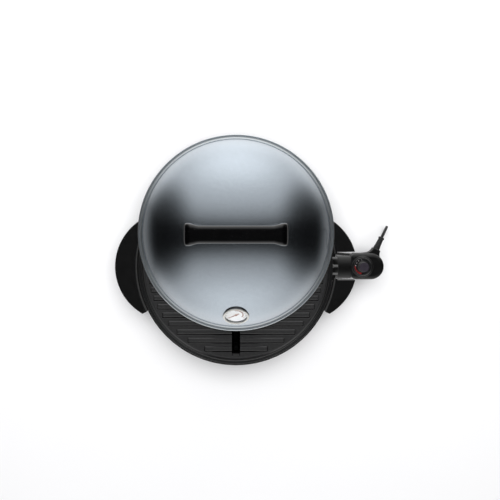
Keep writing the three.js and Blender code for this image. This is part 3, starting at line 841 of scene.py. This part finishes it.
def build_handles():
    right = crescent(0)
    left = crescent(180)
    for handle, side in ((right, "right"), (left, "left")):
        bores = [rod(2.4, 210, 233, outward(turn, SCREW_Z))
                 for name, turn in SCREW_TURNS.items() if name.startswith(side)]
        cut(handle, *bores)
    notch = slab("tool", box_outline(240.5, 310, -33, 34.5, 2), 40, 110)
    cut(right, notch, block(200, 241, -30, 30, 62.6, 110))
    settle(right, "right_handle")
    settle(left, "left_handle")
    for name, turn in SCREW_TURNS.items():
        screw(name, outward(turn, SCREW_Z) @ at(0, 0, 205.8), 3, 2.4, 1.9, 25.7)


def build_legs():
    leg = [(0, 7.9), (15, 7.9, 0.8), (16.4, 15, 10), (20, 35.7), (0, 35.7)]
    foot = [(0, 0.8), (9, 0.8), (9.6, 0, 0.3), (14.5, 0, 1.4), (16, 7.6, 0.8), (0, 7.6)]
    reach = 148 * math.sqrt(0.5)
    for end, y in (("front", -reach), ("rear", reach)):
        for side, x in (("left", -reach), ("right", reach)):
            turned(f"leg_{end}_{side}", leg, at(x, y), 64)
            turned(f"foot_{end}_{side}", foot, at(x, y), 64)


build_bowl()
build_handles()
build_legs()

# Heater

TERMINAL_Z = 70
TERMINAL_Y = 19
TERMINALS = (("front", -TERMINAL_Y), ("rear", TERMINAL_Y))
ELEMENT_RADIUS = 108
ELEMENT_Z = 76
REFLECTOR_TOP = 41.1


def terminal(y=0):
    """Lays a piece drawn along +Z along a terminal or, at y = 0, along the heat sensor."""
    return along_x(0, y, TERMINAL_Z)


def build_reflector():
    floor = 39.6
    pan = lathe("reflector", rounded([
        (0, floor), (163, floor, 16), (184, 46, 16), (198, 60, 16), (209, 80, 2), (214, 80.6), (214, 81.8),
        (208.2, 81.2, 2), (196.8, 60.6, 16), (183.2, 47.2, 16), (162.6, 40.8, 16), (0, 40.8),
    ], 6), HERE, 144)
    cut(pan, slab("tool", box_outline(-20, 20, -212, -76, 6), 30, 60), block(180, 225, -28, 28, 60, 95))
    settle(pan, "heat_reflector")


def build_element():
    lead = [(206, 70), (192, 70.4), (172, 72), (150, 75)]
    spread = [TERMINAL_Y, TERMINAL_Y, 20, 24.5]
    rear = [Vector((x, y, z)) for (x, z), y in zip(lead, spread)]
    ring = [(*p, ELEMENT_Z) for p in arc(0, 0, ELEMENT_RADIUS, 28, 332, 16)]
    front = [Vector((p.x, -p.y, p.z)) for p in reversed(rear)]
    path = smooth_path([*rear, *ring, *front], 8)
    settle(sweep("element", path, 4, 20), "heating_element")
    for name, turn in (("element_clip_rear", 100), ("element_clip_front", 232)):
        place = Matrix.Rotation(math.radians(turn), 4, "Z")
        upright = place @ at(ELEMENT_RADIUS, 0, ELEMENT_Z) @ Matrix.Rotation(math.pi / 2, 4, "X")
        loop = rounded([(4.6, -4, 0.3), (6.2, -4, 0.5), (6.2, 4, 0.5), (4.6, 4, 0.3)])
        eye = lathe("clip", loop, upright, 48)
        strip = box_outline(ELEMENT_RADIUS - 1, ELEMENT_RADIUS + 1, -4, 4, 0.4)
        pad = box_outline(ELEMENT_RADIUS - 9, ELEMENT_RADIUS + 1, -4, 4, 1.5)
        join(eye, slab("tool", strip, REFLECTOR_TOP, ELEMENT_Z - 5.2, place=place),
             slab("tool", pad, REFLECTOR_TOP, 42.6, 0.3, place=place))
        settle(eye, name)


def build_terminals():
    bracket = slab("bracket", box_outline(-31, 31, 62.2, 88.5, 2.5), 219, 221.5, 0.3, place=facing_x())
    holes = [rod(2.9, 210, 230, terminal(y)) for _, y in TERMINALS]
    settle(cut(bracket, *holes, rod(4.7, 210, 230, terminal())), "terminal_bracket")
    pin = [(0, 206.3), (2.4, 206.3, 0.4), (2.4, 258, 2), (0, 258)]
    for side, y in TERMINALS:
        turned(f"terminal_pin_{side}", pin, terminal(y), 40)
    tube = [(3.2, 188), (4.2, 188), (4.2, 234, 0.5), (3.2, 234, 0.4)]
    turned("sensor_guide_tube", tube, terminal(), 48)


build_reflector()
build_element()
build_terminals()

# Drip tray and rails


def build_tray():
    outer = slab("tray", box_outline(-50, 50, -200, -8, 9, 6), 10, 31.5, 0, 3)
    flange = slab("tool", box_outline(-57, 57, -200, -8, 3), 30, 31.5, 0.5)
    lip = rounded([(-212, 27.5, 1.5), (-198.3, 27.5), (-198.3, 31.5), (-212, 31.5, 1.5)])
    grip = slab("tool", lip, -32, 32, 1, place=facing_x())
    join(outer, flange, grip)
    cut(outer, slab("tool", box_outline(-48.2, 48.2, -198.2, -9.8, 7.2, 6), 11.8, 60, 0, 2.4))
    settle(outer, "drip_tray")


def build_rails():
    for name, side in (("tray_rail_left", -1), ("tray_rail_right", 1)):
        section = [(52, 26, 0.3), (60, 26, 2.2), (60, 33.7, 0.4), (66, 33.7, 0.3), (66, 35.7, 0.3),
                   (58, 35.7, 2), (58, 28, 0.4), (52, 28, 0.3)]
        outline = rounded([(side * x, *rest) for x, *rest in section])
        if side < 0:
            outline.reverse()
        settle(slab(name, outline, 14, 170, place=facing_y()), name)


build_tray()
build_rails()

# Lid

DOME_RADIUS = 241
DOME_CENTRE_Z = 11
DOME_WALL = 1.3
GAUGE_TURN = math.radians(46.5)          # from the dome's top down its front
GAUGE_ZERO = 215                         # the pointer's angle on the dial at rest, in degrees
HANDLE_POST = 99                         # from the lid's middle to each end of its handle
HANDLE_SIDES = (("left", -HANDLE_POST), ("right", HANDLE_POST))
lid_place = at(0, lid_shift)
gauge_y = -DOME_RADIUS * math.sin(GAUGE_TURN)
gauge_z = DOME_CENTRE_Z + DOME_RADIUS * math.cos(GAUGE_TURN)
gauge = lid_place @ at(0, gauge_y, gauge_z) @ Matrix.Rotation(GAUGE_TURN, 4, "X")


def build_dome():
    """A thin spherical cap with a flared flange and a rolled bead."""
    mouth = math.degrees(math.asin(219 / DOME_RADIUS))
    inner_mouth = math.degrees(math.asin(221.6 / (DOME_RADIUS - DOME_WALL)))
    outside = arc(0, DOME_CENTRE_Z, DOME_RADIUS, 90, 90 - mouth, 60)
    inside = arc(0, DOME_CENTRE_Z, DOME_RADIUS - DOME_WALL, 90 - inner_mouth, 90, 60)
    flare = arc(226, 111.5, 8.6, 200, 262, 10)
    bead = arc(228.2, 102.4, 2.3, 165, -70, 14)
    profile = [(max(r, 0), z) for r, z in [*outside, *flare, *bead, (221.8, 100.6), *inside]]
    profile[0] = (0, profile[0][1])
    profile[-1] = (0, profile[-1][1])
    shell = lathe("dome", profile, lid_place, 192)
    holes = [rod(2.6, 200, 260, lid_place @ at(x, 0)) for _, x in HANDLE_SIDES]
    cut(shell, *holes, rod(4.9, -30, 30, gauge))
    settle(shell, "lid_dome")


def build_lid_handle():
    """A bridge of two legs and a bar, wider at its ends than along its middle."""
    post = [(-HANDLE_POST, z) for z in (238, 248, 258, 268)]
    corner = [(x, z + 3.5 * ease(x, -HANDLE_POST, -85)) for x, z in arc(-86, 268, 13, 180, 90, 12)[1:]]
    left = post + corner
    bar = [(x, 284.5) for x in np.linspace(-82, 82, 29)]
    line = left + bar + [(-x, z) for x, z in reversed(left)]
    rings = []
    for i, (x, z) in enumerate(line):
        before = Vector(line[max(i - 1, 0)])
        after = Vector(line[min(i + 1, len(line) - 1)])
        tangent = (after - before).normalized()
        normal = Vector((-tangent.y, tangent.x))
        thick = 8.5 - 3 * ease(-abs(x), -HANDLE_POST, -84)
        wide = 18.2 + 5.6 * ease(abs(x), 74, HANDLE_POST)
        section = soft_section(wide, thick, 0.5, 40)
        rings.append([(x + normal.x * v, u, z + normal.y * v) for u, v in section])
    handle = loft("lid_handle", rings, lid_place)
    cut(handle, *[rod(2.4, 230, 259, lid_place @ at(x, 0)) for _, x in HANDLE_SIDES])
    settle(handle, "lid_handle")
    section = rounded([(2.4, 222), (8, 222), (8, 237.7, 0.5), (2.4, 237.7)])
    ball = [(max(r, 0), z) for r, z in arc(0, DOME_CENTRE_Z, DOME_RADIUS + 0.3, 90, -90, 90)]
    for side, x in HANDLE_SIDES:
        spacer = lathe("spacer", section, lid_place @ at(x, 0), 48)
        cut(spacer, lathe("tool", ball, lid_place, 128))
        settle(spacer, f"lid_handle_spacer_{side}")
    for side, x in HANDLE_SIDES:
        screw(f"lid_handle_screw_{side}", lid_place @ at(x, 0, 224), 5, 3.5, 2, 32)


def build_gauge_case():
    """A cup on the dome, with a stem and a nut through it."""
    skirt = [(r, 0.3 - r ** 2 / (2 * DOME_RADIUS)) for r in (4.4, 10, 16, 22.6)]
    cup = [*skirt, (24, 0.4, 0.5), (25.4, 6, 4), (29.2, 8.4, 1), (29.2, 10.2, 0.8),
           (26.2, 10.2, 0.4), (26.2, 2.4, 0.6), (4.4, 2.4)]
    turned("gauge_housing", cup, gauge, 96)
    stem = [(0, -42), (3.4, -42, 1.6), (3.9, -38), (3.9, 2.7), (7, 2.7), (7, 4.2, 0.4),
            (1.5, 4.2), (1.5, -36), (0, -36)]
    turned("gauge_stem", stem, gauge, 40)
    nut = slab("nut", arc(0, 0, 8, 0, 300, 5), -7.5, -3.2, 0.5, place=gauge)
    settle(cut(nut, rod(4.3, -10, 0, gauge)), "gauge_nut")


def build_gauge_dial():
    turned("gauge_dial", [(1.6, 4.5), (25.8, 4.5), (25.8, 5.4, 0.2), (1.6, 5.4)], gauge, 96)
    axle = rounded([(0, -30), (0.9, -30), (0.9, 5.8), (3, 5.8, 0.2), (3, 7.1, 0.5), (0, 7.3)])
    plan = rounded([(-8, -1.2, 0.8), (-2, -1.6), (20, -0.35, 0.3), (20, 0.35, 0.3), (-2, 1.6),
                    (-8, 1.2, 0.8)])
    at_zero = gauge @ Matrix.Rotation(math.radians(GAUGE_ZERO), 4, "Z")
    pointer = lathe("axle", axle, gauge, 40)
    join(pointer, slab("tool", plan, 6, 6.8, 0.15, place=at_zero))
    settle(pointer, "gauge_pointer")


def build_gauge_cover():
    lens = [(0, 8.2), (25.8, 8.2), (25.8, 9.6, 0.3), (20, 9.9), (0, 10.1)]
    turned("gauge_lens", lens, gauge, 96)
    bezel = [(24.4, 10.5, 0.2), (28.8, 10.5, 0.4), (28.4, 12.4, 1.2), (26.6, 12.9, 1.2), (24.8, 12, 0.6)]
    turned("gauge_bezel", bezel, gauge, 128)


def build_gauge_marks():
    """Graduations and a warm-range band, printed on the dial."""
    low, high = 5.4, 5.46
    marks = []
    for i in range(11):
        place = gauge @ Matrix.Rotation(math.radians(GAUGE_ZERO - 25 * i), 4, "Z")
        length, half = (5, 0.55) if i % 5 == 0 else (3.2, 0.32)
        marks.append(slab("mark", box_outline(23.6 - length, 23.6, -half, half), low, high, place=place))
    band = arc(0, 0, 16.6, 100, -35, 40) + arc(0, 0, 14.2, -35, 100, 40)
    marks.append(slab("mark", band[::-1], low, high, place=gauge))
    paint = finishes["pointer_paint"].material
    add_print(merge(marks), "gauge_marks", "lid", paint)


build_dome()
build_lid_handle()
build_gauge_case()
build_gauge_dial()
build_gauge_cover()
build_gauge_marks()

# Controller

BODY_START = 274             # the housing reaches from here to a half circle about BODY_END
BODY_HALF = 31
BODY_END = 321
BODY_LOW = 48
BODY_HIGH = 90
SEAM = 70                    # between the upper shell and the lower one
KNOB_X = 300
NOSE_HALF = 27
NOSE_Y = -2.6                # the nose stands a little in front of the controller's middle
SHELL_SCREW = (337, -4)
knob_place = at(KNOB_X, 0)
screw_place = at(*SHELL_SCREW)


def body_outline(depth=0):
    """The housing's plan: square towards the base and round at its outer end."""
    half = BODY_HALF - depth
    start = BODY_START + depth
    corner = 12
    return rounded([(start, half, corner), (start, -half, corner), *arc(BODY_END, 0, half, -90, 90, 40)])


def neck_outline():
    """The plan of the neck that leads to the strain relief."""
    shoulder = smooth_path([(329, 44.5, 0), (324, 38, 0), (315, 33, 0), (300, 31.2, 0)], 2)
    hollow = smooth_path([(347, 14, 0), (342.6, 25, 0), (344.5, 37, 0)], 3)
    return [(300, 10), (340, 6), *[(p.x, p.y) for p in hollow], *[(p.x, p.y) for p in shoulder]]


def housing(away_low, away_high):
    """The hollow housing with the part between two heights cut away."""
    shell = slab("housing", body_outline(), BODY_LOW, BODY_HIGH, 9.5, 6, steps=9)
    join(shell, slab("tool", neck_outline(), 59, 81, 2, steps=4))
    cavity = slab("tool", body_outline(2.8), BODY_LOW + 2.6, BODY_HIGH - 4.6, 7, 4)
    return cut(shell, cavity, rod(6.4, -24, 4, neck), rod(2.9, 250, 290, terminal()),
               block(260, 400, -90, 90, away_low, away_high))


def build_shells():
    gap = 0.15
    upper = housing(0, SEAM + gap)
    lower = housing(SEAM - gap, 120)
    rim = rounded([(21, 88), (25.4, 88), (25, 90.4, 0.8), (23.6, 92.4, 1), (22, 92.2, 0.8), (21, 90, 0.4)])
    join(upper, lathe("tool", rim, knob_place, 96))
    join(upper, rod(4.5, SEAM + gap, 86, screw_place))
    seat = BODY_HIGH - 1.8
    well = [(0, seat), (21, seat), (21, BODY_HIGH + 4), (0, BODY_HIGH + 4)]
    cut(upper, lathe("tool", well, knob_place, 96), rod(3.4, 80, 94, knob_place),
        rod(1.9, 69, 82, screw_place))
    cut(lower, rod(1.9, 40, 60, screw_place))
    settle(upper, "controller_upper_shell")
    settle(lower, "controller_lower_shell")
    screw("shell_screw", screw_place @ at(0, 0, 47.7), 3.2, 2.1, 1.6, 30.3)


def build_shroud():
    """The nose round the contacts, the contacts and the sensor rod."""
    face = facing_x(NOSE_Y, (BODY_LOW + BODY_HIGH) / 2)
    nose = slab("nose", soft_section(NOSE_HALF, 21, 0.8), 242, 273.7, 1, place=face)
    socket = slab("tool", soft_section(NOSE_HALF - 1.2, 18, 0.8), 237, 262, place=face)
    settle(cut(nose, socket, rod(2.9, 240, 290, terminal())), "controller_shroud")
    sleeve = [(2.8, 246, 0.4), (4.2, 246, 0.5), (4.2, 261.7, 0.3), (2.8, 261.7)]
    for side, y in TERMINALS:
        turned(f"contact_sleeve_{side}", sleeve, terminal(y), 40)
    turned("sensor_rod", [(0, 183), (2.6, 183, 2.4), (2.6, 292, 0.3), (0, 292)], terminal(), 40)


def grip_wave(turn, r, z):
    """Flutes round the knob's side."""
    depth = 0.35
    flutes = 20
    return depth * math.cos(flutes * turn) - depth if r > 10 and 91 < z < 106 else 0


def build_knob():
    ring = [(12.4, 88.5), (20.7, 88.5), (20.7, 90.3, 0.5), (19.4, 90.3), (19, 89.7),
            (14, 89.7), (13.6, 90.2), (12.4, 90.2, 0.3)]
    turned("dial_scale_ring", ring, knob_place, 128)
    cap = rounded([(0, 88.6), (12, 88.6), (12, 92, 0.4), (11.8, 93), (11.5, 99), (11.4, 105.5),
                   (11.2, 107, 1), (10.2, 108, 0.6), (9.2, 107.5, 0.4), (0, 107.2)])
    knob = lathe("knob", cap, knob_place, 160, wave=grip_wave)
    line = slab("tool", box_outline(KNOB_X - 9, KNOB_X - 3, -0.5, 0.5, 0.4), 106.8, 109)
    settle(cut(knob, rod(3.3, 80, 102, knob_place), line), "control_knob")
    shaft = [(0, 76), (5, 76, 0.3), (5, 79.4, 0.3), (2.9, 79.4), (2.9, 101.6, 0.5), (0, 101.6)]
    turned("knob_shaft", shaft, knob_place, 40)


def build_scale_marks():
    """A red band that widens towards the front and a row of white dots, printed on the scale ring."""
    low, high = 89.7, 89.78
    inner = arc(0, 0, 18, 262, 170, 40)
    inner = [(x * k, y * k) for k, (x, y) in zip(np.linspace(0.8, 0.98, len(inner)), inner)]
    band = slab("heat", arc(0, 0, 18.6, 170, 262, 40) + inner, low, high, place=knob_place)
    red = Finish("heat_marks", (0.16, 0.006, 0.007), 0.4)
    red.tint(red.noise(2.4), 0.2, 2.4)
    add_print(band, "heat_marks", "controller", red.material)
    dots = []
    for i, (x, y) in enumerate(arc(0, 0, 16.4, 172, 100, 3)):
        dots.append(rod(0.91 - 0.12 * i, low, high, knob_place @ at(x, y), 20))
    white = Finish("scale_marks", (0.5, 0.47, 0.48), 0.4)
    white.tint(white.noise(3), 0.9, 1.05)
    add_print(merge(dots), "scale_marks", "controller", white.material)


def build_inside():
    """The thermostat's inner parts keep their shape and get finer edges."""
    for node in ("thermostat_frame", "bimetal_blade"):
        piece = frame["nodes"][node]
        piece.data.materials.clear()
        piece.data.materials.append(finishes[slot_of[node]].material)
        edge = piece.modifiers.new("edge", "BEVEL")
        edge.width = 0.2 * MM
        edge.segments = 2


build_shells()
build_shroud()
build_knob()
build_scale_marks()
build_inside()

# Table and light

FLOOR_HALF = 9               # metres, as are the softbox's place and size
SOFTBOX_PLACE = (0.0, 0.6, 2.85)
SOFTBOX_SIZE = (3.1, 2.8)
SOFTBOX_POWER = 112


def build_floor():
    finish = Finish("floor", (0.88, 0.88, 0.89), 0.6)
    finish.tint(finish.noise(400), 0.99, 1.0)
    mesh = bpy.data.meshes.new("floor")
    corners = [(-1, -1), (1, -1), (1, 1), (-1, 1)]
    mesh.from_pydata([(FLOOR_HALF * x, FLOOR_HALF * y, 0) for x, y in corners], [], [(0, 1, 2, 3)])
    mesh.materials.append(finish.material)
    return add_object("floor", mesh)


def hang_softbox():
    light = bpy.data.lights.new("overhead_softbox", "AREA")
    light.shape = "RECTANGLE"
    light.size, light.size_y = SOFTBOX_SIZE
    light.energy = SOFTBOX_POWER
    lamp = add_object("overhead_softbox", light)
    lamp.location = SOFTBOX_PLACE
    aim = Vector((plate_axis.x, plate_axis.y, RIM_TOP * MM)) - Vector(SOFTBOX_PLACE)
    lamp.rotation_mode = "QUATERNION"
    lamp.rotation_quaternion = aim.to_track_quat("-Z", "Y")
    return lamp


floor = build_floor()
floor.visible_glossy = False
hang_softbox().visible_glossy = False
# The lid's shine shows the studio and not what stands close to it: only the lid and tray are mirrored.
for piece in bpy.data.objects:
    if piece.get("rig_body", "lid") not in ("lid", "tray") or piece.name.startswith("gauge"):
        piece.visible_glossy = False
bpy.data.objects["gauge_lens_shape"].visible_shadow = False

# How bright the studio is from the front wall (0) over the top (0.5) to the rear wall (1)
STUDIO = ((0, 0.82), (0.12, 0.53), (0.19, 0.43), (0.27, 0.27), (0.335, 0.1), (0.39, 0.012), (0.55, 0.012),
          (0.6, 0.15), (0.64, 0.27), (0.77, 0.52), (0.86, 0.64), (0.905, 0.75), (1, 1.12))


def smooth_range(tree, value, low, high, start, end):
    ranged = map_range(tree, value, low, high, start, end)
    ranged.interpolation_type = "SMOOTHSTEP"
    return ranged.outputs["Result"]


def wall_ramp(tree, way_back):
    """The studio's brightness along an arch from the front wall to the rear one."""
    walls = tree.nodes.new("ShaderNodeValToRGB")
    while len(walls.color_ramp.elements) < len(STUDIO):
        walls.color_ramp.elements.new(0.5)
    for element, (position, value) in zip(walls.color_ramp.elements, STUDIO):
        element.position = position
        element.color = (value, value, value, 1)
    tree.links.new(map_range(tree, way_back, 0, 1, -1, 1).outputs["Result"], walls.inputs["Fac"])
    return walls.outputs["Color"]


def studio_world():
    """Bright towards the front and the rear, dark overhead and at the sides, pale behind the object."""
    world = bpy.data.worlds.new("studio")
    world.use_nodes = True
    tree = world.node_tree
    nodes, links = tree.nodes, tree.links
    way = nodes.new("ShaderNodeSeparateXYZ")
    links.new(nodes.new("ShaderNodeTexCoord").outputs["Generated"], way.inputs["Vector"])
    aside = calculate(tree, "ABSOLUTE", way.outputs["X"])
    sides = smooth_range(tree, aside, 1, 0.1, 0.66, 0.97)
    lower = smooth_range(tree, way.outputs["Z"], 1.05, 1.7, -0.2, -0.8)
    glow = smooth_range(tree, way.outputs["Z"], 0, 0.22, -0.3, -0.7)
    lit = calculate(tree, "MULTIPLY", wall_ramp(tree, way.outputs["Y"]), sides)
    lit = calculate(tree, "MULTIPLY", lit, lower)
    lit = calculate(tree, "MAXIMUM", lit, glow)
    soft = nodes["Background"]
    soft.inputs["Color"].default_value = (1, 1, 1, 1)
    links.new(lit, soft.inputs["Strength"])
    pale = nodes.new("ShaderNodeBackground")
    pale.inputs["Color"].default_value = (0.93, 0.93, 0.94, 1)
    mix = nodes.new("ShaderNodeMixShader")
    links.new(nodes.new("ShaderNodeLightPath").outputs["Is Camera Ray"], mix.inputs["Fac"])
    links.new(soft.outputs[0], mix.inputs[1])
    links.new(pale.outputs[0], mix.inputs[2])
    links.new(mix.outputs[0], nodes["World Output"].inputs["Surface"])
    return world


bpy.context.scene.world = studio_world()
bpy.context.scene.view_settings.view_transform = "Standard"
